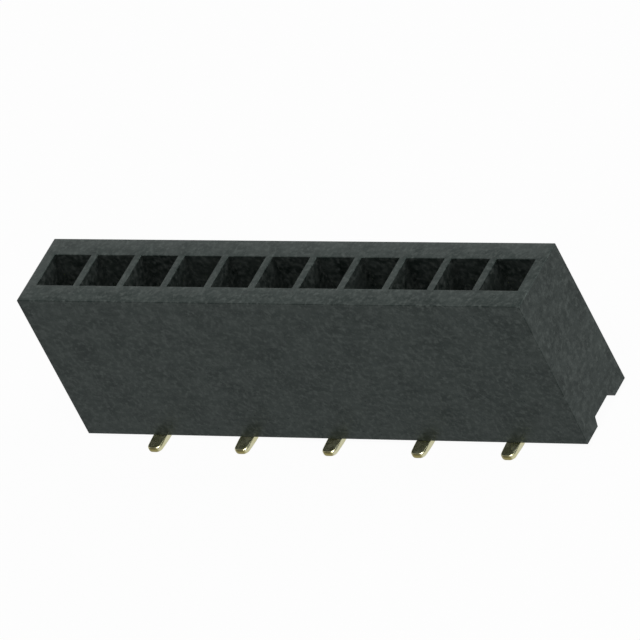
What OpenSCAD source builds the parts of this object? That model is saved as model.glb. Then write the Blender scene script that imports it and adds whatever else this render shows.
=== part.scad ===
// Female header strip for surface mounting, in millimetres.
// A moulded housing holds one row of stamped and folded spring contacts.
// Each contact takes a square pin from above and ends in a flat tail under the housing.
// The tails leave to the front and to the rear by turns, the first one to the rear.
// The origin is on the board, under the middle of the strip. +X runs along the row.

/* [Row] */
// Number of sockets in the row
positions = 11; // [2:1:20]
// Distance from one socket to the next
pitch = 1.27; // [1.2:0.01:1.6]
// Side of the square pin that a contact takes
pin_w = 0.40; // [0.3:0.01:0.44]

/* [Housing] */
// Width of the housing across its feet, from front to rear
housing_w = 2.24; // [1.8:0.02:3]
// Height of the housing from its feet to its top
housing_h = 4.45; // [4.1:0.05:6]
// Wall beyond the last socket at each end
end_wall = 0.295; // [0.15:0.005:1]
// How far the front and the rear side each lean in from the feet to the top
side_draft = 0.04; // [0.01:0.01:0.1]
// Radius of the four upright corners
corner_r = 0.04; // [0.02:0.01:0.12]

/* [Sockets] */
// Opening of a socket along the row
socket_x = 1.08; // [0.98:0.01:1.12]
// Opening of a socket from front to rear
socket_y = 1.06; // [1:0.01:1.3]
// Thickness of the floor under the sockets
floor_t = 0.75; // [0.45:0.05:1]
// Depth of the contact tips below the top of the housing
entry_depth = 1.27; // [1:0.01:1.5]

/* [Underside channel] */
// Height of the channel between the two feet
channel_h = 0.25; // [0.15:0.01:0.4]
// Width of the channel at the bottom of the feet
channel_w = 1.03; // [0.98:0.01:1.3]
// How far each side of the channel leans in towards its roof
channel_draft = 0.07; // [0:0.01:0.1]

/* [Contact metal] */
// Thickness of the strip that the contacts are stamped from
strip_t = 0.15; // [0.12:0.01:0.2]
// Clearance between a contact and the sides of its socket
side_gap = 0.04; // [0.02:0.01:0.08]
// Clearance between the pin and the spine of the contact
pin_gap = 0.04; // [0.02:0.01:0.06]
// Inside radius of the folds between the spine and the wings
fold_r = 0.06; // [0.02:0.01:0.1]
// Height of the folded base that stands on the socket's floor
base_h = 0.55; // [0.4:0.05:0.7]

/* [Spring beams] */
// Gap between the two beams where they grip the pin
grip_gap = 0.34; // [0.26:0.01:0.38]
// Width of a beam at its root
beam_w = 0.36; // [0.3:0.01:0.4]
// Width of a beam at its tip
beam_tip_w = 0.28; // [0.2:0.01:0.3]
// Inside radius of the bend where a beam leans in
lean_r = 0.35; // [0.25:0.05:0.5]
// Radius of the rounded spot that touches the pin
grip_r = 0.20; // [0.15:0.01:0.3]
// Angle that the tips flare outwards from upright
flare = 20; // [12:1:24]
// Length of the straight flared tip
flare_l = 0.26; // [0.15:0.01:0.32]

/* [Root in the floor] */
// Width of the root that is pressed into the floor
root_w = 0.44; // [0.42:0.01:0.5]
// Width over the barbs, which is the width of the slot in the floor
barb_w = 0.54; // [0.52:0.01:0.6]
// Height of one barb
barb_h = 0.16; // [0.1:0.01:0.2]
// Clearance between the faces of the root and the slot
slot_gap = 0.02; // [0.01:0.005:0.04]

/* [Tails] */
// Width of a tail
tail_w = 0.40; // [0.3:0.01:0.42]
// Distance between the tips of the front and the rear tails
tail_span = 3.15; // [2.7:0.05:4]
// Inside radius of the bend between the root and the tail
tail_r = 0.10; // [0.06:0.01:0.12]
// Clearance between the tails and the bottom of the feet
tail_gap = 0.01; // [0.01:0.01:0.05]
// Length of the cut on each corner of a tail's tip
tip_cut = 0.06; // [0.03:0.01:0.14]
// Depth of the eased edge on the top and bottom of a tail's tip
tip_ease = 0.03; // [0.02:0.01:0.05]

/* [Hidden] */
$fn = 64;
// Small extra depth of a cut that has to break through a face
past = 0.5;
// How far the two halves of the housing run into each other
overlap = 0.2;

function contact_name(i) = str("contact_", i < 10 ? "0" : "", i);

row_l = (positions - 1) * pitch;
housing_l = row_l + socket_x + 2 * end_wall;
side_lean = atan2(side_draft, housing_h);

// Levels from the board up
foot_z = strip_t + tail_gap;
roof_z = foot_z + channel_h;
floor_z = roof_z + floor_t;
base_top = floor_z + base_h;
top_z = foot_z + housing_h;

// Places in a contact whose tail points to the front, from the axis of its pin
spine_in = -(pin_w / 2 + pin_gap);
spine_out = spine_in - strip_t;
base_w = socket_x - 2 * side_gap;
wing_out = base_w / 2;
wing_in = wing_out - strip_t;
wing_end = beam_w / 2;

// The lean of a beam: it bends in, runs straight and bends out, and at the grip it has
// moved in by lean_in over a height of beam_rise
tip_h = (grip_r + strip_t) * sin(flare) + flare_l * cos(flare);
beam_rise = top_z - entry_depth - tip_h - base_top;
lean_in = wing_in - grip_gap / 2;
bend_sum = lean_r + grip_r + strip_t;
beam_l = sqrt(pow(lean_in - bend_sum, 2) + pow(beam_rise, 2) - pow(bend_sum, 2));
lean = atan2(beam_l, -bend_sum) - atan2(beam_rise, lean_in - bend_sum);

// The contact's own bottom outline
root_end = strip_t + tail_r;
tail_l = tail_span / 2 + spine_out - tail_r;

// The sockets in order: where each one is, and 1 for a tail to the front or -1 to the rear
function socket_at(i) = (i - 1) * pitch - row_l / 2;
function side(i) = i % 2 == 0 ? 1 : -1;

// A length of bent strip metal, w wide along Y and centred on it. It starts at the origin,
// runs up, and has its thickness from x = 0 to x = strip_t. Each step is [length] for a
// straight stretch, or [radius, angle] for a bend, to +X for a positive angle.
module bent_strip(steps, w, i = 0) {
    if (i < len(steps)) {
        step = steps[i];
        if (len(step) == 1) {
            translate([0, -w / 2, 0]) cube([strip_t, w, step[0]]);
            translate([0, 0, step[0]]) bent_strip(steps, w, i + 1);
        } else if (step[1] > 0) {
            reach = step[0] + strip_t;
            translate([reach, 0, 0]) {
                mirror([1, 0, 0]) bend(step[0], step[1], w);
                rotate([0, step[1], 0]) translate([-reach, 0, 0]) bent_strip(steps, w, i + 1);
            }
        } else {
            translate([-step[0], 0, 0]) {
                bend(step[0], -step[1], w);
                rotate([0, step[1], 0]) translate([step[0], 0, 0]) bent_strip(steps, w, i + 1);
            }
        }
    }
}

// One bend about the origin, from +X towards +Z
module bend(r, angle, w) {
    rotate([90, 0, 0]) rotate_extrude(angle = angle)
        translate([r, -w / 2]) square([strip_t, w]);
}

// The folded base: a spine across the front and a wing along each side of the socket
module folded_base() {
    outer_r = fold_r + strip_t;
    translate([0, 0, floor_z]) linear_extrude(base_h) difference() {
        rounded_front(wing_out, spine_out, outer_r);
        rounded_front(wing_in, spine_in, fold_r);
    }
}

// Plan of a channel section, from the y of its front side to the free end of the wings
module rounded_front(half_w, front, r) {
    translate([-half_w + r, front]) square([2 * (half_w - r), wing_end - front]);
    translate([-half_w, front + r]) square([2 * half_w, wing_end - front - r]);
    for (s = [-1, 1]) translate([s * (half_w - r), front + r]) circle(r);
}

// One spring beam, over the right-hand wing. Its outline narrows from root to tip.
module beam() {
    beam_top = beam_rise + tip_h;
    translate([0, 0, base_top]) intersection() {
        translate([wing_in, 0, 0])
            bent_strip([[lean_r, -lean], [beam_l], [grip_r, lean + flare], [flare_l]], beam_w);
        rotate([90, 0, 90]) linear_extrude(pitch, center = true) polygon([
            [-beam_w / 2, 0], [beam_w / 2, 0],
            [beam_tip_w / 2, beam_top], [-beam_tip_w / 2, beam_top]
        ]);
    }
}

// The root: a flat blade through the floor, with a pair of barbs at two heights
module root() {
    barb = (barb_w - root_w) / 2;
    neck_top = roof_z + (root_w - tail_w) / 2;
    translate([0, spine_in, 0]) rotate([90, 0, 0]) linear_extrude(strip_t) {
        translate([-tail_w / 2, root_end]) square([tail_w, floor_z - root_end]);
        polygon([
            [-tail_w / 2, roof_z], [tail_w / 2, roof_z], [root_w / 2, neck_top],
            [root_w / 2, floor_z], [-root_w / 2, floor_z], [-root_w / 2, neck_top]
        ]);
        for (s = [-1, 1], level = [1, 2]) {
            z = neck_top + level * (floor_z - neck_top) / 3 - barb_h / 2;
            polygon([
                [0, z], [s * root_w / 2, z],
                [s * (root_w / 2 + barb), z + barb_h], [0, z + barb_h]
            ]);
        }
    }
}

// The tail: it bends forward under the root, runs flat on the board and has a cut tip
module tail() {
    tip_y = -tail_span / 2;
    half_w = tail_w / 2;
    inner_y = spine_in + past;
    upper_z = root_end + past;
    intersection() {
        translate([0, spine_out, root_end]) mirror([0, 0, 1]) rotate([0, 0, 90])
            bent_strip([[tail_r, -90], [tail_l]], tail_w);
        linear_extrude(upper_z) polygon([
            [-half_w, inner_y], [-half_w, tip_y + tip_cut], [-half_w + tip_cut, tip_y],
            [half_w - tip_cut, tip_y], [half_w, tip_y + tip_cut], [half_w, inner_y]
        ]);
        rotate([90, 0, 90]) linear_extrude(tail_w, center = true) polygon([
            [tip_y, tip_ease], [tip_y + tip_ease, 0], [inner_y, 0],
            [inner_y, upper_z], [tip_y + tip_ease, upper_z],
            [tip_y + tip_ease, strip_t], [tip_y, strip_t - tip_ease]
        ]);
    }
}

// A whole contact with its tail to the front, on the axis of its pin
module contact() {
    color("darkgoldenrod") {
        folded_base();
        beam();
        mirror([1, 0, 0]) beam();
        root();
        tail();
    }
}

module contact_in_row(i) {
    translate([socket_at(i), 0, 0]) rotate([0, 0, side(i) > 0 ? 0 : 180]) contact();
}

// The opening of one socket, and the slot in its floor that the root is pressed into
module socket_cut(i) {
    slot_y = strip_t + 2 * slot_gap;
    translate([socket_at(i), 0, 0]) {
        translate([-socket_x / 2, -socket_y / 2, floor_z])
            cube([socket_x, socket_y, top_z - floor_z + past]);
        rotate([0, 0, side(i) > 0 ? 0 : 180])
            translate([-barb_w / 2, spine_out - slot_gap, foot_z])
                cube([barb_w, slot_y, floor_z - foot_z + past]);
    }
}

// The channel along the underside, in which the tails bend
module channel_cut() {
    foot_in = channel_w / 2;
    roof_in = foot_in - channel_draft;
    rotate([90, 0, 90]) linear_extrude(housing_l + 2 * past, center = true) polygon([
        [-foot_in, foot_z - past], [foot_in, foot_z - past], [foot_in, foot_z],
        [roof_in, roof_z], [-roof_in, roof_z], [-foot_in, foot_z]
    ]);
}

// The front half of the housing from above. It is longer than half the width, so that the
// two halves overlap, and its front side lies on y = 0.
module half_plan() {
    depth = housing_w / 2 + overlap;
    half_l = housing_l / 2;
    translate([-half_l + corner_r, 0]) square([housing_l - 2 * corner_r, depth]);
    translate([-half_l, corner_r]) square([housing_l, depth - corner_r]);
    for (s = [-1, 1]) translate([s * (half_l - corner_r), corner_r]) circle(corner_r);
}

// The front half of the housing, with its front side leaning in towards the top
module half_body() {
    translate([0, -housing_w / 2, foot_z]) rotate([-side_lean, 0, 0])
        translate([0, 0, -past]) linear_extrude(housing_h + 2 * past) half_plan();
}

module body() {
    intersection() {
        union() {
            half_body();
            rotate([0, 0, 180]) half_body();
        }
        translate([-housing_l / 2 - past, -housing_w / 2 - past, foot_z])
            cube([housing_l + 2 * past, housing_w + 2 * past, housing_h]);
    }
}

module housing() {
    color("darkslategray") difference() {
        body();
        for (i = [1:positions]) socket_cut(i);
        channel_cut();
    }
}

housing();
for (i = [1:positions])
    contact_in_row(i);
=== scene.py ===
# %% [markdown]
# A surface-mount socket strip
#
# The object is one row of eleven small sockets. A black moulded housing holds one
# spring contact per socket, stamped and folded from thin strip and plated with gold.
# The contacts end in flat tails that leave under the housing, to the front and to the
# rear by turns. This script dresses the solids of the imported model: it models each
# piece again with softened edges, gives it a finish, and sets up camera and light.

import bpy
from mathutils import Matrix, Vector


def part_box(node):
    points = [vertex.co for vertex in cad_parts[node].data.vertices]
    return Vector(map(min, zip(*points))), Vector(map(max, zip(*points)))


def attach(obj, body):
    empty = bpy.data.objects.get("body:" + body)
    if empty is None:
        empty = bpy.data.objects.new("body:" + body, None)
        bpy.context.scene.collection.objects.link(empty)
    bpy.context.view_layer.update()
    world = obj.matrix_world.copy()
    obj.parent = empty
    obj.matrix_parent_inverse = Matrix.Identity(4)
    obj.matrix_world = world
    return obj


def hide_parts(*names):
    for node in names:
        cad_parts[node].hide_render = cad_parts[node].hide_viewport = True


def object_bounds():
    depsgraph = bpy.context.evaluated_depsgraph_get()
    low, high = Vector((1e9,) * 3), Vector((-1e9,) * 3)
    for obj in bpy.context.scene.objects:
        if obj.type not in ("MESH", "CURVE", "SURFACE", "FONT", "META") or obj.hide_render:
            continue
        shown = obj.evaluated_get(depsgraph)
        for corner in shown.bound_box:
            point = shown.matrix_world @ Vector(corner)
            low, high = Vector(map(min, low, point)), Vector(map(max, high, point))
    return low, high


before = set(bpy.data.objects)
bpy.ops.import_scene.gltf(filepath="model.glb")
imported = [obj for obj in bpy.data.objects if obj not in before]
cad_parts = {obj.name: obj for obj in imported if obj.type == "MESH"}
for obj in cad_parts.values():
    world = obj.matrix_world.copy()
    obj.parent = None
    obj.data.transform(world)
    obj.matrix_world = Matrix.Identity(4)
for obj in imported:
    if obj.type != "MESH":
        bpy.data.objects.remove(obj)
cad_low, cad_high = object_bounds()
print("nodes in the frame:", len(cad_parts))

# %% [markdown]
# Working in millimetres
#
# A mould maker gives every size of such a strip in millimetres, while Blender counts
# in metres, and some of its mesh operators have small fixed tolerances that suit
# things a metre across. So each piece is modelled in millimetres and scaled down at
# the very end. The outer sizes are read from the solids, so the two models can't
# drift apart.

# %% Read the outer sizes
MM = 0.001

housing_low, housing_high = (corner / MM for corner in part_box("housing"))
tail_tip = max(abs(cad_low.y), abs(cad_high.y)) / MM
contact_names = sorted(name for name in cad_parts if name.startswith("contact"))
print("sockets in the row:", len(contact_names))
print("housing from", [round(v, 3) for v in housing_low], "to", [round(v, 3) for v in housing_high])
print("tails reach", round(tail_tip, 3), "mm to the front and to the rear")

# %% [markdown]
# The camera
#
# The photograph was taken from far away through a long lens, from the right, the front
# and above, with the camera turned on its side a little. A long lens keeps parallel
# edges almost parallel. The camera could be placed by a matrix. An aim point, a
# distance and three angles say the same more plainly, and each can be changed alone.

# %% Place the camera
import math

import bpy
from mathutils import Matrix, Vector

AIM = Vector((0.3606, 0.0, 3.0373)) * MM
DISTANCE = 243.40 * MM
AZIMUTH = math.radians(43.363)
ELEVATION = math.radians(35.557)
ROLL = math.radians(-27.972)
LENS = 575.88
SENSOR = 36.0
NEAREST = 0.01
FARTHEST = 10.0


def make_camera():
    away = Vector((
        math.sin(AZIMUTH) * math.cos(ELEVATION),
        -math.cos(AZIMUTH) * math.cos(ELEVATION),
        math.sin(ELEVATION),
    ))
    data = bpy.data.cameras.new("camera")
    data.lens = LENS
    data.sensor_width = SENSOR
    data.clip_start = NEAREST
    data.clip_end = FARTHEST
    camera = bpy.data.objects.new("camera", data)
    bpy.context.scene.collection.objects.link(camera)
    turn = (-away).to_track_quat("-Z", "Y").to_matrix() @ Matrix.Rotation(ROLL, 3, "Z")
    camera.matrix_world = Matrix.Translation(AIM + away * DISTANCE) @ turn.to_4x4()
    bpy.context.scene.camera = camera
    return camera


camera = make_camera()
print("camera at", [round(v / MM, 1) for v in camera.location], "mm")

# %% [markdown]
# Starting a finish
#
# A finish in Blender is a graph of nodes that ends in a shader. Its patterns need a
# place to start from, and here that is always the object's own coordinates, because
# they stay on the part when the camera moves. They are in metres, and this part is a
# few millimetres high, so its patterns repeat thousands of times a metre.

# %% Start a finish, read coordinates and make noise
def new_finish(name):
    material = bpy.data.materials.new(name)
    material.use_nodes = True
    tree = material.node_tree
    return material, tree, tree.nodes["Principled BSDF"]


def object_coordinates(tree):
    return tree.nodes.new("ShaderNodeTexCoord").outputs["Object"]


def noise(tree, where, per_metre, detail=3.0, roughness=0.5, stretch=(1, 1, 1)):
    mapping = tree.nodes.new("ShaderNodeMapping")
    mapping.inputs["Scale"].default_value = stretch
    texture = tree.nodes.new("ShaderNodeTexNoise")
    texture.inputs["Scale"].default_value = per_metre
    texture.inputs["Detail"].default_value = detail
    texture.inputs["Roughness"].default_value = roughness
    tree.links.new(where, mapping.inputs["Vector"])
    tree.links.new(mapping.outputs["Vector"], texture.inputs["Vector"])
    return texture.outputs["Fac"]


# %% [markdown]
# Turning noise into colour and relief
#
# Noise alone is a grey cloud around one half. Spreading its middle over a wider range
# gives it contrast, and the result can then blend two colours, set how rough the
# surface is, or raise it. A Map Range node is used for the spread rather than a colour
# ramp, because its four numbers can be named and read in the script.

# %% Spread a value, blend colours and raise relief
def spread(tree, value, found, wanted=(0.0, 1.0)):
    node = tree.nodes.new("ShaderNodeMapRange")
    node.inputs["From Min"].default_value = found[0]
    node.inputs["From Max"].default_value = found[1]
    node.inputs["To Min"].default_value = wanted[0]
    node.inputs["To Max"].default_value = wanted[1]
    tree.links.new(value, node.inputs["Value"])
    return node.outputs["Result"]


def blend_colours(tree, factor, first, second):
    node = tree.nodes.new("ShaderNodeMix")
    node.data_type = "RGBA"
    tree.links.new(factor, node.inputs["Factor"])
    for label, colour in (("A", first), ("B", second)):
        slot = next(s for s in node.inputs if s.name == label and s.type == "RGBA")
        if isinstance(colour, bpy.types.NodeSocket):
            tree.links.new(colour, slot)
        else:
            slot.default_value = (*colour, 1.0)
    return next(s for s in node.outputs if s.type == "RGBA")


def relief(tree, height, depth, strength, under=None):
    node = tree.nodes.new("ShaderNodeBump")
    node.inputs["Distance"].default_value = depth
    node.inputs["Strength"].default_value = strength
    tree.links.new(height, node.inputs["Height"])
    if under is not None:
        tree.links.new(under, node.inputs["Normal"])
    return node.outputs["Normal"]


# %% [markdown]
# The colour of the plastic
#
# The housing is a glass-filled engineering plastic in black. It is not a clean black:
# the skin is charcoal with a cool green-grey cast, mottled where the glass fibres come
# near the surface, and it has faint flow lines along the row. One noise could only
# give clouds of one size, so three are laid over each other: mottles, flow lines and
# grains. What a noise takes is kept in one named set, so that a pattern can be
# changed in one place.

# %% Colour of the plastic
MOTTLE = dict(per_metre=1500, detail=4.0, roughness=0.65)
FLOW_LINES = dict(per_metre=7000, detail=2.0, stretch=(0.3, 1, 1))
GRAIN = dict(per_metre=8000, roughness=0.7)
SKIN_DARK = (0.0056, 0.0085, 0.0074)
SKIN_LIGHT = (0.0205, 0.0260, 0.0236)
FLOW_LINE = (0.040, 0.046, 0.043)
FLOW_LINE_SHARE = 0.45
PALE_GRAIN = (0.055, 0.063, 0.059)
MOTTLE_FOUND = (0.35, 0.65)
FLOW_LINE_FOUND = (0.42, 0.70)
GRAIN_FOUND = (0.47, 0.70)


def plastic_colour(tree, mottle, flow, grain):
    skin = blend_colours(tree, spread(tree, mottle, MOTTLE_FOUND), SKIN_DARK, SKIN_LIGHT)
    in_line = spread(tree, flow, FLOW_LINE_FOUND, (0.0, FLOW_LINE_SHARE))
    lined = blend_colours(tree, in_line, skin, FLOW_LINE)
    return blend_colours(tree, spread(tree, grain, GRAIN_FOUND), lined, PALE_GRAIN)


print("millimetres from mottle to mottle:", round(1 / (MOTTLE["per_metre"] * MM), 2))

# %% [markdown]
# The skin of the plastic
#
# The gloss of a moulded part is low but real: close to the front face of the housing
# each tail shows as a soft dark reflection. A high, even roughness would lose that, and
# a low one would look like lacquer. So the roughness follows the grain, and the same
# grain and flow lines raise the skin by a few thousandths of a millimetre.

# %% Plastic of the housing
NOISE_FOUND = (0.3, 0.7)
PLASTIC_ROUGHNESS = (0.26, 0.46)
PLASTIC_RELIEF = 4.0e-6
GRAIN_STRENGTH = 0.6
FLOW_LINE_STRENGTH = 0.25
PLASTIC_IOR = 1.40
PLASTIC_SHINE_TINT = (0.76, 1.0, 0.94, 1.0)


def housing_plastic():
    material, tree, shader = new_finish("housing_plastic")
    where = object_coordinates(tree)
    mottle = noise(tree, where, **MOTTLE)
    flow = noise(tree, where, **FLOW_LINES)
    grain = noise(tree, where, **GRAIN)
    tree.links.new(plastic_colour(tree, mottle, flow, grain), shader.inputs["Base Color"])
    rough = spread(tree, grain, NOISE_FOUND, PLASTIC_ROUGHNESS)
    tree.links.new(rough, shader.inputs["Roughness"])
    grained = relief(tree, grain, PLASTIC_RELIEF, GRAIN_STRENGTH)
    raised = relief(tree, flow, PLASTIC_RELIEF, FLOW_LINE_STRENGTH, under=grained)
    tree.links.new(raised, shader.inputs["Normal"])
    shader.inputs["IOR"].default_value = PLASTIC_IOR
    shader.inputs["Specular Tint"].default_value = PLASTIC_SHINE_TINT
    return material


plastic = housing_plastic()
print("nodes in the plastic:", len(plastic.node_tree.nodes))

# %% [markdown]
# The plated metal
#
# The strip is a copper alloy under a thin layer of nickel and gold. Stamped and plated
# metal is bright but not polished: rolling leaves fine lines along the strip, and the
# plating softens them. The colour of a metal is that of its reflection, so the base
# colour is a pale gold and the metallic value is one. The ends of the tails are cut
# off the carrier strip after plating, so they show the bare alloy, which is browner
# and darker. The distance from the middle of the strip says where that is.

# %% Gold of the contacts
CLOUDS = dict(per_metre=5000)
ROLLING_LINES = dict(per_metre=12000, detail=2.0, stretch=(1, 0.12, 0.12))
GOLD_DEEP = (0.88, 0.84, 0.50)
GOLD_PALE = (0.97, 0.95, 0.66)
BARE_ALLOY = (0.42, 0.37, 0.15)
BARE_FADE = 0.045
BARE_FULL = 0.015
CLOUD_FOUND = (0.35, 0.65)
METAL_ROUGHNESS = (0.20, 0.34)
METAL_RELIEF = 0.8e-6
ROLLING_LINE_STRENGTH = 0.3


def bare_share(tree, where):
    parts = tree.nodes.new("ShaderNodeSeparateXYZ")
    outward = tree.nodes.new("ShaderNodeMath")
    outward.operation = "ABSOLUTE"
    tree.links.new(where, parts.inputs["Vector"])
    tree.links.new(parts.outputs["Y"], outward.inputs[0])
    fade = ((tail_tip - BARE_FADE) * MM, (tail_tip - BARE_FULL) * MM)
    return spread(tree, outward.outputs[0], fade)


def contact_gold():
    material, tree, shader = new_finish("contact_gold")
    where = object_coordinates(tree)
    cloud = noise(tree, where, **CLOUDS)
    lines = noise(tree, where, **ROLLING_LINES)
    plated = blend_colours(tree, spread(tree, cloud, CLOUD_FOUND), GOLD_DEEP, GOLD_PALE)
    tone = blend_colours(tree, bare_share(tree, where), plated, BARE_ALLOY)
    tree.links.new(tone, shader.inputs["Base Color"])
    rough = spread(tree, cloud, NOISE_FOUND, METAL_ROUGHNESS)
    tree.links.new(rough, shader.inputs["Roughness"])
    rolled = relief(tree, lines, METAL_RELIEF, ROLLING_LINE_STRENGTH)
    tree.links.new(rolled, shader.inputs["Normal"])
    shader.inputs["Metallic"].default_value = 1.0
    return material


gold = contact_gold()
print("nodes in the gold:", len(gold.node_tree.nodes))

# %% [markdown]
# Sizes of the housing
#
# A mould makes the housing in a few strokes, and the model follows them. Its end view
# is a block with a channel between two feet. Each socket is a pocket left by a core
# pin, and a slot through its floor takes the root of the contact. The block's own
# corners come from the solid, and these values give what lies between them.

# %% Name the sizes of the housing
PITCH = 1.27
SOCKET_X = 1.08
SOCKET_Y = 1.06
SIDE_DRAFT = 0.04
CHANNEL_H = 0.25
CHANNEL_W = 1.03
CHANNEL_DRAFT = 0.07
FLOOR_T = 0.75

count = len(contact_names)
socket_x = [(i - (count - 1) / 2) * PITCH for i in range(count)]
roof_z = housing_low.z + CHANNEL_H
floor_z = roof_z + FLOOR_T
print("socket floor at", round(floor_z, 3), "mm, channel roof at", round(roof_z, 3), "mm")

# %% [markdown]
# Pulling the end view out along the row
#
# The whole row has one section, so the outline of the end is drawn once as a single
# face and extruded. A cube with cuts in it would need more steps and would leave more
# edges behind. The long sides lean in by the draft that lets the part leave the mould.

# %% Draw the end view and pull it out
import bmesh


def end_view(bm):
    foot, top = housing_low.z, housing_high.z
    half, half_at_top = housing_high.y, housing_high.y - SIDE_DRAFT
    at_foot = CHANNEL_W / 2
    at_roof = at_foot - CHANNEL_DRAFT
    outline = [
        (-half, foot), (-at_foot, foot), (-at_roof, roof_z), (at_roof, roof_z),
        (at_foot, foot), (half, foot), (half_at_top, top), (-half_at_top, top),
    ]
    return bm.faces.new([bm.verts.new((housing_low.x, y, z)) for y, z in outline])


def push_faces(bm, faces, step):
    made = bmesh.ops.extrude_face_region(bm, geom=faces)["geom"]
    moved = [v for v in made if isinstance(v, bmesh.types.BMVert)]
    bmesh.ops.translate(bm, verts=moved, vec=step)


housing_bm = bmesh.new()
push_faces(housing_bm, [end_view(housing_bm)], (housing_high.x - housing_low.x, 0, 0))
bmesh.ops.recalc_face_normals(housing_bm, faces=housing_bm.faces)
print("block: faces", len(housing_bm.faces), "volume", round(housing_bm.calc_volume(), 3), "mm3")

# %% [markdown]
# Marking lines on one face
#
# The openings have to be marked on the top before they can be pushed in, as a scriber
# marks a blank. bisect_plane cuts whatever it is given where a plane crosses it, so
# it gets only the faces of one level, and the other faces stay whole.

# %% Mark lines on the faces of one level
NO_GAP = 1e-5
X_AXIS = Vector((1, 0, 0))
Y_AXIS = Vector((0, 1, 0))
LEVEL_ENOUGH = 0.99


def faces_at(bm, z):
    flat = [f for f in bm.faces if abs(f.normal.z) > LEVEL_ENOUGH]
    return [f for f in flat if abs(f.calc_center_median().z - z) < NO_GAP]


def mark(bm, faces, axis, value):
    parts = dict.fromkeys(faces)
    parts.update(dict.fromkeys(e for f in faces for e in f.edges))
    parts.update(dict.fromkeys(v for f in faces for v in f.verts))
    bmesh.ops.bisect_plane(bm, geom=list(parts), dist=NO_GAP, plane_co=axis * value, plane_no=axis)


top_z = housing_high.z
for x in socket_x:
    for side_x in (x - SOCKET_X / 2, x + SOCKET_X / 2):
        mark(housing_bm, faces_at(housing_bm, top_z), X_AXIS, side_x)
for side_y in (-SOCKET_Y / 2, SOCKET_Y / 2):
    mark(housing_bm, faces_at(housing_bm, top_z), Y_AXIS, side_y)
print("faces marked on the top:", len(faces_at(housing_bm, top_z)))

# %% [markdown]
# Pushing the sockets down
#
# Each opening is now a face of its own. Extruding those faces down to the socket floor
# leaves walls behind, as a core pin does in the mould. The old faces stay at the top,
# like lids over the sockets, so they are deleted.

# %% Push the sockets down
def inside(face, centre, size):
    middle = face.calc_center_median()
    near_x = abs(middle.x - centre[0]) < size[0] / 2
    near_y = abs(middle.y - centre[1]) < size[1] / 2
    return near_x and near_y


def is_opening(face):
    return any(inside(face, (x, 0), (SOCKET_X, SOCKET_Y)) for x in socket_x)


openings = [f for f in faces_at(housing_bm, top_z) if is_opening(f)]
push_faces(housing_bm, openings, (0, 0, floor_z - top_z))
print("sockets pushed down:", len(openings))
bmesh.ops.delete(housing_bm, geom=openings, context="FACES_ONLY")

# %% [markdown]
# Marking the slots for the roots
#
# A contact is pushed in from above, and its barbed root bites into a slot in the
# socket's floor. A boolean could cut it, but it can leave slivers at this size. So the
# slot is marked with four lines on one level, as the openings were. Only the faces
# that the slot's middle crosses are marked, and the other sockets stay clean.

# %% Mark a slot on one level
STRIP_T = 0.15
SPINE_IN = 0.24
SLOT_W = 0.54
SLOT_GAP = 0.02

slot_near = SPINE_IN - SLOT_GAP
slot_far = SPINE_IN + STRIP_T + SLOT_GAP


def crosses(face, x):
    across = [v.co.x for v in face.verts]
    return min(across) < x < max(across)


def mark_slot(bm, z, x, y_low, y_high):
    for axis, value in (
        (X_AXIS, x - SLOT_W / 2), (X_AXIS, x + SLOT_W / 2), (Y_AXIS, y_low), (Y_AXIS, y_high),
    ):
        mark(bm, [f for f in faces_at(bm, z) if crosses(f, x)], axis, value)


print("slots reach from", round(slot_near, 3), "to", round(slot_far, 3), "mm off the middle")

# %% [markdown]
# Opening the slots
#
# A slot goes through the floor of its socket into the channel below. It is marked on
# the floor and on the channel's roof, both marks are opened, and bridge_loops joins
# their rims with four clean walls. The slots lie behind the middle of the row and in
# front of it by turns, each on the side to which its tail leaves.

# %% Cut the slots
def cut_slot(bm, x, y_low, y_high):
    centre = (x, (y_low + y_high) / 2)
    size = (SLOT_W, y_high - y_low)
    rims = []
    for z in (floor_z, roof_z):
        mark_slot(bm, z, x, y_low, y_high)
        plate = [f for f in faces_at(bm, z) if inside(f, centre, size)]
        rims += dict.fromkeys(e for f in plate for e in f.edges)
        bmesh.ops.delete(bm, geom=plate, context="FACES_ONLY")
    bmesh.ops.bridge_loops(bm, edges=rims)


def tail_goes_rear(index):
    return index % 2 == 0


for i, x in enumerate(socket_x):
    if tail_goes_rear(i):
        cut_slot(housing_bm, x, slot_near, slot_far)
    else:
        cut_slot(housing_bm, x, -slot_far, -slot_near)
bmesh.ops.recalc_face_normals(housing_bm, faces=housing_bm.faces)
print("housing with slots:", round(housing_bm.calc_volume(), 3), "mm3")

# %% [markdown]
# Softening the edges of the housing
#
# No moulded edge is perfectly sharp, and in a picture it is the narrow rounded edge
# that catches the light and shows where one face ends. The outer edges and the rims of
# the sockets get a radius of about two hundredths of a millimetre, because the
# photograph shows no line between its faces that a wider one would draw. The bevel
# runs on chosen edges only, because the slots and floors stay sharp.

# %% Round the edges of the housing
OUTER_ROUND = 0.018
RIM_ROUND = 0.02
EDGE_ANGLE = math.radians(30)
RIM_ANGLE = math.radians(60)


def sharp_edges(bm, least):
    return [e for e in bm.edges if len(e.link_faces) == 2 and e.calc_face_angle() > least]


def round_edges(bm, edges, width, segments):
    bmesh.ops.bevel(
        bm, geom=edges, offset=width, offset_type="OFFSET", segments=segments,
        profile=0.5, affect="EDGES", clamp_overlap=True, material=-1,
    )


def is_outer(edge):
    at_end = all(abs(abs(v.co.x) - housing_high.x) < NO_GAP for v in edge.verts)
    at_side = all(abs(v.co.y) > housing_high.y - SIDE_DRAFT - NO_GAP for v in edge.verts)
    return at_end or at_side


def is_rim(edge):
    level = all(abs(v.co.z - top_z) < NO_GAP for v in edge.verts)
    near = all(abs(v.co.y) < SOCKET_Y / 2 + NO_GAP for v in edge.verts)
    return level and near


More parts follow.
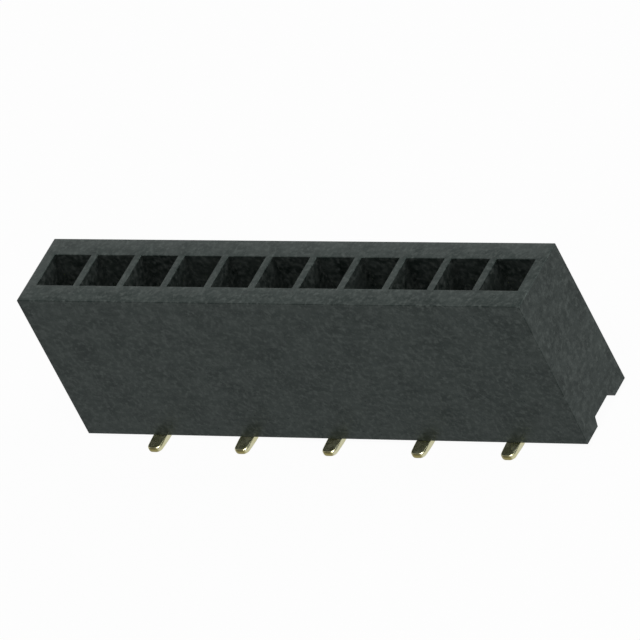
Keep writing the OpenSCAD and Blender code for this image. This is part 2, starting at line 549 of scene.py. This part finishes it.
outer_edges = [e for e in sharp_edges(housing_bm, EDGE_ANGLE) if is_outer(e)]
print("outer edges rounded:", len(outer_edges))
round_edges(housing_bm, outer_edges, OUTER_ROUND, segments=3)
rim_edges = [e for e in sharp_edges(housing_bm, RIM_ANGLE) if is_rim(e)]
print("rim edges rounded:", len(rim_edges))
round_edges(housing_bm, rim_edges, RIM_ROUND, segments=2)

# %% [markdown]
# Turning a bmesh into a finished piece
#
# The mesh is scaled to metres and becomes an object that sits at the origin, with its
# place in its mesh. Smooth shading alone would make the flat faces look swollen.
# Weighted normals let the large faces win, so they stay flat and only the narrow
# rounded edges bend the light. The piece then replaces its solid in the picture, and
# rides on the same body.

# %% Finish the housing
CREASE_ANGLE = math.radians(50)


def mesh_from(bm, name):
    bmesh.ops.recalc_face_normals(bm, faces=bm.faces)
    open_edges = sum(1 for e in bm.edges if not e.is_manifold)
    print(name, "faces:", len(bm.faces), "open edges:", open_edges)
    mesh = bpy.data.meshes.new(name)
    bm.to_mesh(mesh)
    bm.free()
    return mesh


def finished_piece(name, mesh, material, node):
    mesh.materials.clear()
    mesh.materials.append(material)
    mesh.shade_smooth()
    mesh.set_sharp_from_angle(angle=CREASE_ANGLE)
    piece = bpy.data.objects.new(name, mesh)
    bpy.context.scene.collection.objects.link(piece)
    weighted = piece.modifiers.new("even_shading", "WEIGHTED_NORMAL")
    weighted.keep_sharp = True
    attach(piece, "root")
    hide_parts(node)
    return piece


bmesh.ops.scale(housing_bm, vec=(MM, MM, MM), verts=housing_bm.verts)
housing_mesh = mesh_from(housing_bm, "housing_looks")
housing = finished_piece("housing_shell", housing_mesh, plastic, "housing")
print("made", housing.name)

# %% [markdown]
# Sizes of the contact
#
# A real contact starts as a flat blank. It is folded into an upright channel, its two
# beams are bent towards each other so that they grip the pin, and the tail is bent
# last, under the housing. The lean of the beams isn't measured but worked out: two
# tangent arcs and a straight piece have to bring the beam from the channel's wall to
# half of the grip's gap, and the flare has to end at the pin's entry depth.

# %% Name the sizes and work out the lean
HALF_T = STRIP_T / 2
SIDE_GAP = 0.04
BASE_H = 0.55
LEAN_R = 0.35
GRIP_R = 0.20
GRIP_GAP = 0.34
FLARE = math.radians(20)
FLARE_L = 0.26
ENTRY_DEPTH = 1.27

base_top = floor_z + BASE_H
beam_top = housing_high.z - ENTRY_DEPTH
wall_x = SOCKET_X / 2 - SIDE_GAP - HALF_T
spine_y = -SPINE_IN - HALF_T


def lean_of_beam():
    flare_h = (GRIP_R + STRIP_T) * math.sin(FLARE) + FLARE_L * math.cos(FLARE)
    rise = beam_top - flare_h - base_top
    move = wall_x - HALF_T - GRIP_GAP / 2
    radii = LEAN_R + GRIP_R + STRIP_T
    straight = math.sqrt((move - radii) ** 2 + rise**2 - radii**2)
    lean = math.atan2(straight, -radii) - math.atan2(rise, move - radii)
    return lean, straight


beam_lean, beam_straight = lean_of_beam()
print("beam leans", round(math.degrees(beam_lean), 2), "degrees over", round(beam_straight, 3), "mm")

# %% [markdown]
# Folding the base
#
# Sheet metal is drawn here without a thickness first. One edge is pulled along to make
# a flat stretch, and spun about an axis to make a fold, just as the strip passes
# through a bending tool. Starting from the right wall, the sheet goes round the back
# (the spine) to the left wall, with a seam on each side of the root.

# %% Fold the base
FOLD_R = 0.06
FOLD_STEPS = 6
BEAM_W = 0.36
ROOT_W = 0.44
QUARTER_TURN = math.pi / 2


def pull(bm, edges, step):
    made = bmesh.ops.extrude_edge_only(bm, edges=edges)["geom"]
    moved = [v for v in made if isinstance(v, bmesh.types.BMVert)]
    bmesh.ops.translate(bm, verts=moved, vec=step)
    lines = [e for e in made if isinstance(e, bmesh.types.BMEdge)]
    return [e for e in lines if all(v in moved for v in e.verts)]


def roll(bm, edges, centre, axis, angle, steps):
    made = bmesh.ops.spin(
        bm, geom=edges, cent=centre, axis=axis, angle=angle, steps=steps, use_merge=False,
        use_duplicate=False,
    )["geom_last"]
    return [e for e in made if isinstance(e, bmesh.types.BMEdge)]


def fold_base(bm):
    fold = FOLD_R + HALF_T
    corner_y = spine_y + fold
    flat = wall_x - fold
    low = bm.verts.new((wall_x, BEAM_W / 2, floor_z))
    high = bm.verts.new((wall_x, BEAM_W / 2, base_top))
    edge = pull(bm, [bm.edges.new((low, high))], (0, corner_y - BEAM_W / 2, 0))
    edge = roll(bm, edge, (flat, corner_y, 0), (0, 0, 1), -QUARTER_TURN, FOLD_STEPS)
    for stretch in (ROOT_W / 2 - flat, -ROOT_W, ROOT_W / 2 - flat):
        edge = pull(bm, edge, (stretch, 0, 0))
    edge = roll(bm, edge, (-flat, corner_y, 0), (0, 0, 1), -QUARTER_TURN, FOLD_STEPS)
    pull(bm, edge, (0, BEAM_W / 2 - corner_y, 0))


contact_bm = bmesh.new()
fold_base(contact_bm)
print("faces of the folded base:", len(contact_bm.faces))

# %% [markdown]
# Raising the beams
#
# The spring of the contact is a pair of beams. Each rises from its wall, leans in,
# turns round where it touches the pin and flares out again, so that the pin finds its
# way. The same pull and spin make it, on the wall's upper edge. A beam of even width
# would be stressed most at its foot, so a real one narrows towards the tip.

# %% Raise the beams
BEAM_TIP_W = 0.28
LEAN_STEPS = 4
GRIP_STEPS = 6


def edge_near(bm, point):
    target = Vector(point)
    return min(bm.edges, key=lambda e: ((e.verts[0].co + e.verts[1].co) / 2 - target).length)


def narrow_beam(verts):
    for v in verts:
        share = (v.co.z - base_top) / (beam_top - base_top)
        v.co.y *= 1 + share * (BEAM_TIP_W / BEAM_W - 1)


def raise_beam(bm, side):
    known = set(bm.verts)
    edge = [edge_near(bm, (side * wall_x, 0, base_top))]
    foot_centre = (side * (wall_x - HALF_T - LEAN_R), 0, base_top)
    edge = roll(bm, edge, foot_centre, Y_AXIS, -side * beam_lean, LEAN_STEPS)
    run = Vector((-side * math.sin(beam_lean), 0, math.cos(beam_lean))) * beam_straight
    edge = pull(bm, edge, run)
    across = Vector((side * math.cos(beam_lean), 0, math.sin(beam_lean)))
    end = (edge[0].verts[0].co + edge[0].verts[1].co) / 2
    grip_centre = Vector((end.x, 0, end.z)) + across * (GRIP_R + HALF_T)
    edge = roll(bm, edge, grip_centre, Y_AXIS, side * (beam_lean + FLARE), GRIP_STEPS)
    pull(bm, edge, (side * math.sin(FLARE) * FLARE_L, 0, math.cos(FLARE) * FLARE_L))
    narrow_beam([v for v in bm.verts if v not in known])


for side in (1, -1):
    raise_beam(contact_bm, side)
print("beams reach up to", round(max(v.co.z for v in contact_bm.verts), 3), "mm")

# %% [markdown]
# Pulling the root down
#
# Below the spine the strip runs down through the slot. Two pairs of barbs on its edges
# dig into the plastic and hold the contact. They are small triangles: a short edge on
# the side is pulled out, and its lower end is merged back, which leaves a hook that
# slips in easily and resists coming out. The root then narrows to the tail's width.

# %% Pull the root down and add its barbs
BARB_H = 0.16
TAIL_W = 0.40
TAIL_R = 0.10


def corners_of(edges):
    return list(dict.fromkeys(v for e in edges for v in e.verts))


def add_barb(bm, side, top, bottom):
    edge = edge_near(bm, (side * ROOT_W / 2, spine_y, (top + bottom) / 2))
    root_vert = min(edge.verts, key=lambda v: v.co.z)
    made = bmesh.ops.extrude_edge_only(bm, edges=[edge])["geom"]
    moved = [v for v in made if isinstance(v, bmesh.types.BMVert)]
    bmesh.ops.translate(bm, verts=moved, vec=(side * (SLOT_W - ROOT_W) / 2, 0, 0))
    lower = min(moved, key=lambda v: v.co.z)
    bmesh.ops.pointmerge(bm, verts=[lower, root_vert], merge_co=root_vert.co)


def pull_root(bm):
    neck_z = roof_z + (ROOT_W - TAIL_W) / 2
    third = (floor_z - neck_z) / 3
    barbs = [(neck_z + n * third + BARB_H / 2, neck_z + n * third - BARB_H / 2) for n in (2, 1)]
    edge = [edge_near(bm, (0, spine_y, floor_z))]
    z = floor_z
    for level in (*barbs[0], *barbs[1], neck_z, roof_z):
        edge = pull(bm, edge, (0, 0, level - z))
        z = level
    bmesh.ops.scale(bm, verts=corners_of(edge), vec=(TAIL_W / ROOT_W, 1, 1))
    for top, bottom in barbs:
        for side in (-1, 1):
            add_barb(bm, side, top, bottom)
    return pull(bm, edge, (0, 0, STRIP_T + TAIL_R - roof_z))


tail_edge = pull_root(contact_bm)
print("faces with root and barbs:", len(contact_bm.faces))

# %% [markdown]
# Bending the tail
#
# The tail is bent out flat under the foot, so that it can be soldered to its pad. The
# bend is one more spin. The tip of the real tail is cut to a round nose. It could be a
# bevel on two corners, but short pulls that narrow along a quarter circle keep the
# sheet in plain four-sided faces, which take their thickness well.

# %% Bend the tail and round its nose
BEND_STEPS = 8
NOSE_R = 0.16
NOSE_STEPS = 8


def round_nose(bm, edge):
    flat = TAIL_W / 2 - NOSE_R
    half, reach = TAIL_W / 2, 0.0
    for step in range(1, NOSE_STEPS + 1):
        angle = QUARTER_TURN * step / NOSE_STEPS
        next_half, next_reach = flat + NOSE_R * math.cos(angle), NOSE_R * math.sin(angle)
        edge = pull(bm, edge, (0, reach - next_reach, 0))
        bmesh.ops.scale(bm, verts=corners_of(edge), vec=(next_half / half, 1, 1))
        half, reach = next_half, next_reach


def bend_tail(bm, edge):
    outer = spine_y - HALF_T - TAIL_R
    bend_z = min(v.co.z for v in corners_of(edge))
    edge = roll(bm, edge, (0, outer, bend_z), X_AXIS, -QUARTER_TURN, BEND_STEPS)
    edge = pull(bm, edge, (0, -tail_tip + NOSE_R - outer, 0))
    round_nose(bm, edge)


bend_tail(contact_bm, tail_edge)
print("tail reaches", round(min(v.co.y for v in contact_bm.verts), 4), "mm to the front")

# %% [markdown]
# Giving the sheet its thickness
#
# Every stretch of strip metal has the same thickness, so it is given once, to the whole
# sheet, half to each side. The Solidify modifier is used rather than the operator,
# because it can keep the thickness even round the folds. What the modifier makes is
# read off as a mesh of its own, so that the operators can go on with it.

# %% Thicken the sheet
def thickened(bm):
    sheet = bpy.data.objects.new("sheet", mesh_from(bm, "sheet"))
    bpy.context.scene.collection.objects.link(sheet)
    solid = sheet.modifiers.new("strip", "SOLIDIFY")
    solid.thickness = STRIP_T
    solid.offset = 0.0
    solid.use_even_offset = True
    solid.use_quality_normals = True
    ready = sheet.evaluated_get(bpy.context.evaluated_depsgraph_get())
    mesh = bpy.data.meshes.new_from_object(ready)
    bpy.data.objects.remove(sheet)
    solid_bm = bmesh.new()
    solid_bm.from_mesh(mesh)
    return solid_bm


contact_bm = thickened(contact_bm)
print("volume of the thickened strip:", round(contact_bm.calc_volume(), 4), "mm3")

# %% [markdown]
# Easing the edges of the contact
#
# A punch leaves the cut edges of strip metal a little round, and most of all round the
# nose, where it drags the metal. There the photograph shows a bright rim. A bevel
# stops at the nearest line that it meets, so the lines across the flat of the nose
# are dissolved first, and the nose is eased before the other edges.

# %% Ease the edges of the contact
NOSE_EASE_ABOVE = 0.028
NOSE_EASE_BELOW = 0.035
EDGE_ROUND = 0.012
FLAT_ANGLE = math.radians(1)
NOSE_RIM_ANGLE = math.radians(60)
STRIP_EDGE_ANGLE = math.radians(35)


def at_nose(edge):
    return all(v.co.y < -tail_tip + NOSE_R + NO_GAP for v in edge.verts)


def clear_flat_lines(bm):
    between = [e for e in bm.edges if len(e.link_faces) == 2 and at_nose(e)]
    flat = [e for e in between if e.calc_face_angle() < FLAT_ANGLE]
    bmesh.ops.dissolve_edges(bm, edges=flat)
    return len(flat)


def nose_rim(bm, z):
    around = [e for e in sharp_edges(bm, NOSE_RIM_ANGLE) if at_nose(e)]
    return [e for e in around if all(abs(v.co.z - z) < NO_GAP for v in e.verts)]


print("lines cleared from the nose:", clear_flat_lines(contact_bm))
round_edges(contact_bm, nose_rim(contact_bm, STRIP_T), NOSE_EASE_ABOVE, segments=1)
round_edges(contact_bm, nose_rim(contact_bm, 0.0), NOSE_EASE_BELOW, segments=1)
round_edges(contact_bm, sharp_edges(contact_bm, STRIP_EDGE_ANGLE), EDGE_ROUND, segments=2)
print("volume of a contact:", round(contact_bm.calc_volume(), 4), "mm3")

# %% [markdown]
# A contact in every socket
#
# All the contacts come from one stamping tool, so one mesh is copied for each. Every
# second one is turned half round, which sends its tail to the rear. The turn and the
# place go into the mesh, so the objects themselves stay at the origin. Their pattern
# reads object coordinates, so no two contacts have the same clouds in their plating.

# %% Put a contact in every socket
def place_contact(master, index, name):
    mesh = master.copy()
    turn = Matrix.Rotation(math.pi if tail_goes_rear(index) else 0.0, 4, "Z")
    place = Matrix.Translation((socket_x[index], 0, 0)) @ turn
    mesh.transform(Matrix.Scale(MM, 4) @ place)
    label = name.replace("contact", "spring_contact")
    return finished_piece(label, mesh, gold, name)


contact_mesh = mesh_from(contact_bm, "contact")
contacts = [place_contact(contact_mesh, i, name) for i, name in enumerate(contact_names)]
print("contacts placed:", len(contacts))

# %% [markdown]
# The finish of the floor
#
# The photograph is a plain product shot on white. More light would make the floor
# white, but it would wash out the part as well. So the floor's material looks at what
# kind of ray arrives. To the camera it is nearly all white, with a share of the plain
# matt floor left in, which keeps a trace of shadow. To a ray mirrored by the metal or
# the plastic it is an even light grey, and to all other light it is matt and pale.

# %% White of the floor
FLOOR_MATT = (0.55, 0.55, 0.55, 1)
FLOOR_ROUGHNESS = 0.9
FLOOR_WHITE_SHARE = 0.965
FLOOR_MIRRORED = 0.58


def mix_shaders(tree, share, first, second):
    node = tree.nodes.new("ShaderNodeMixShader")
    for slot, source in enumerate((share, first, second)):
        tree.links.new(source, node.inputs[slot])
    return node.outputs["Shader"]


def floor_finish():
    material, tree, matt = new_finish("floor_white")
    matt.inputs["Base Color"].default_value = FLOOR_MATT
    matt.inputs["Roughness"].default_value = FLOOR_ROUGHNESS
    grey = tree.nodes.new("ShaderNodeEmission")
    grey.inputs["Strength"].default_value = FLOOR_MIRRORED
    white = tree.nodes.new("ShaderNodeEmission")
    path = tree.nodes.new("ShaderNodeLightPath")
    share = tree.nodes.new("ShaderNodeMath")
    share.operation = "MULTIPLY"
    share.inputs[1].default_value = FLOOR_WHITE_SHARE
    tree.links.new(path.outputs["Is Camera Ray"], share.inputs[0])
    mirrored = mix_shaders(tree, path.outputs["Is Glossy Ray"], matt.outputs[0], grey.outputs[0])
    seen = mix_shaders(tree, share.outputs[0], mirrored, white.outputs[0])
    tree.links.new(seen, tree.nodes["Material Output"].inputs["Surface"])
    return material


floor_white = floor_finish()
print("nodes in the floor's white:", len(floor_white.node_tree.nodes))

# %% [markdown]
# Laying the floor
#
# The part rests on its tails, and the floor is one square face under them, wide enough
# to fill the picture. It lies a hair below the tails, because two faces in one plane
# would flicker. It belongs to the picture and not to the part.

# %% Lay the floor
FLOOR_SIZE = 0.8
FLOOR_DROP = 2e-6

floor_bm = bmesh.new()
bmesh.ops.create_grid(floor_bm, x_segments=1, y_segments=1, size=FLOOR_SIZE / 2)
bmesh.ops.translate(floor_bm, verts=floor_bm.verts, vec=(0, 0, -FLOOR_DROP))
floor_mesh = mesh_from(floor_bm, "floor")
floor_mesh.materials.append(floor_white)
floor = bpy.data.objects.new("floor", floor_mesh)
bpy.context.scene.collection.objects.link(floor)
print("floor of", FLOOR_SIZE, "m laid")

# %% [markdown]
# The room
#
# The world is the room around the part. It gives the part an even, weak light from
# all sides. What a shiny surface mirrors is another matter. In the photograph the
# plastic shows each tail as a dark smear, so the side of the room where the camera
# stands was dim, and the far side was lighter. A mirrored ray finds the room graded
# from front to back in that way, and the camera itself sees plain white.

# %% Light the room
ROOM_PLAIN = 0.30
ROOM_FRONT = 0.12
ROOM_BACK = 0.80
ROOM_TURNS_AT = 0.6
ROOM_SEEN = 1.0
WHITE = (1, 1, 1, 1)


def background(tree, strength):
    node = tree.nodes.new("ShaderNodeBackground")
    node.inputs["Color"].default_value = WHITE
    if isinstance(strength, bpy.types.NodeSocket):
        tree.links.new(strength, node.inputs["Strength"])
    else:
        node.inputs["Strength"].default_value = strength
    return node.outputs["Background"]


def make_room():
    world = bpy.data.worlds.new("studio")
    bpy.context.scene.world = world
    world.use_nodes = True
    tree = world.node_tree
    way = tree.nodes.new("ShaderNodeTexCoord")
    parts = tree.nodes.new("ShaderNodeSeparateXYZ")
    tree.links.new(way.outputs["Generated"], parts.inputs["Vector"])
    turn = (-ROOM_TURNS_AT, ROOM_TURNS_AT)
    rise = spread(tree, parts.outputs["Y"], turn, (ROOM_FRONT, ROOM_BACK))
    plain, graded = background(tree, ROOM_PLAIN), background(tree, rise)
    path = tree.nodes.new("ShaderNodeLightPath")
    shiny = mix_shaders(tree, path.outputs["Is Glossy Ray"], plain, graded)
    seen = mix_shaders(tree, path.outputs["Is Camera Ray"], shiny, background(tree, ROOM_SEEN))
    tree.links.new(seen, tree.nodes["World Output"].inputs["Surface"])
    return world


room = make_room()
print("nodes in the room:", len(room.node_tree.nodes))

# %% [markdown]
# The lamps
#
# Most of the light comes from one wide lamp above and in front, like a soft box. It
# lights the top a little more than the front face, so the eye can tell them apart. A
# second, weaker one fills the end of the strip from the right. Both are disks, and a
# wide disk close by gives a soft shadow. Their places and sizes are in metres.

# %% Set the lamps
FRONT_LAMP_PLACE = Vector((0.12, -0.14, 0.38))
FRONT_LAMP_SIZE = 0.20
FRONT_LAMP_WATTS = 1.15
END_LAMP_PLACE = Vector((0.35, 0.20, 0.15))
END_LAMP_SIZE = 0.25
END_LAMP_WATTS = 0.65


def add_lamp(name, place, size, watts):
    data = bpy.data.lights.new(name, "AREA")
    data.shape = "DISK"
    data.size = size
    data.energy = watts
    lamp = bpy.data.objects.new(name, data)
    bpy.context.scene.collection.objects.link(lamp)
    lamp.location = place
    lamp.rotation_mode = "QUATERNION"
    lamp.rotation_quaternion = (-place).to_track_quat("-Z", "Y")
    return lamp


front_lamp = add_lamp("lamp_front", FRONT_LAMP_PLACE, FRONT_LAMP_SIZE, FRONT_LAMP_WATTS)
end_lamp = add_lamp("lamp_right", END_LAMP_PLACE, END_LAMP_SIZE, END_LAMP_WATTS)
bpy.context.scene.view_settings.view_transform = "Standard"
print("lamps:", front_lamp.name, front_lamp.data.energy, "W,", end_lamp.name, end_lamp.data.energy, "W")
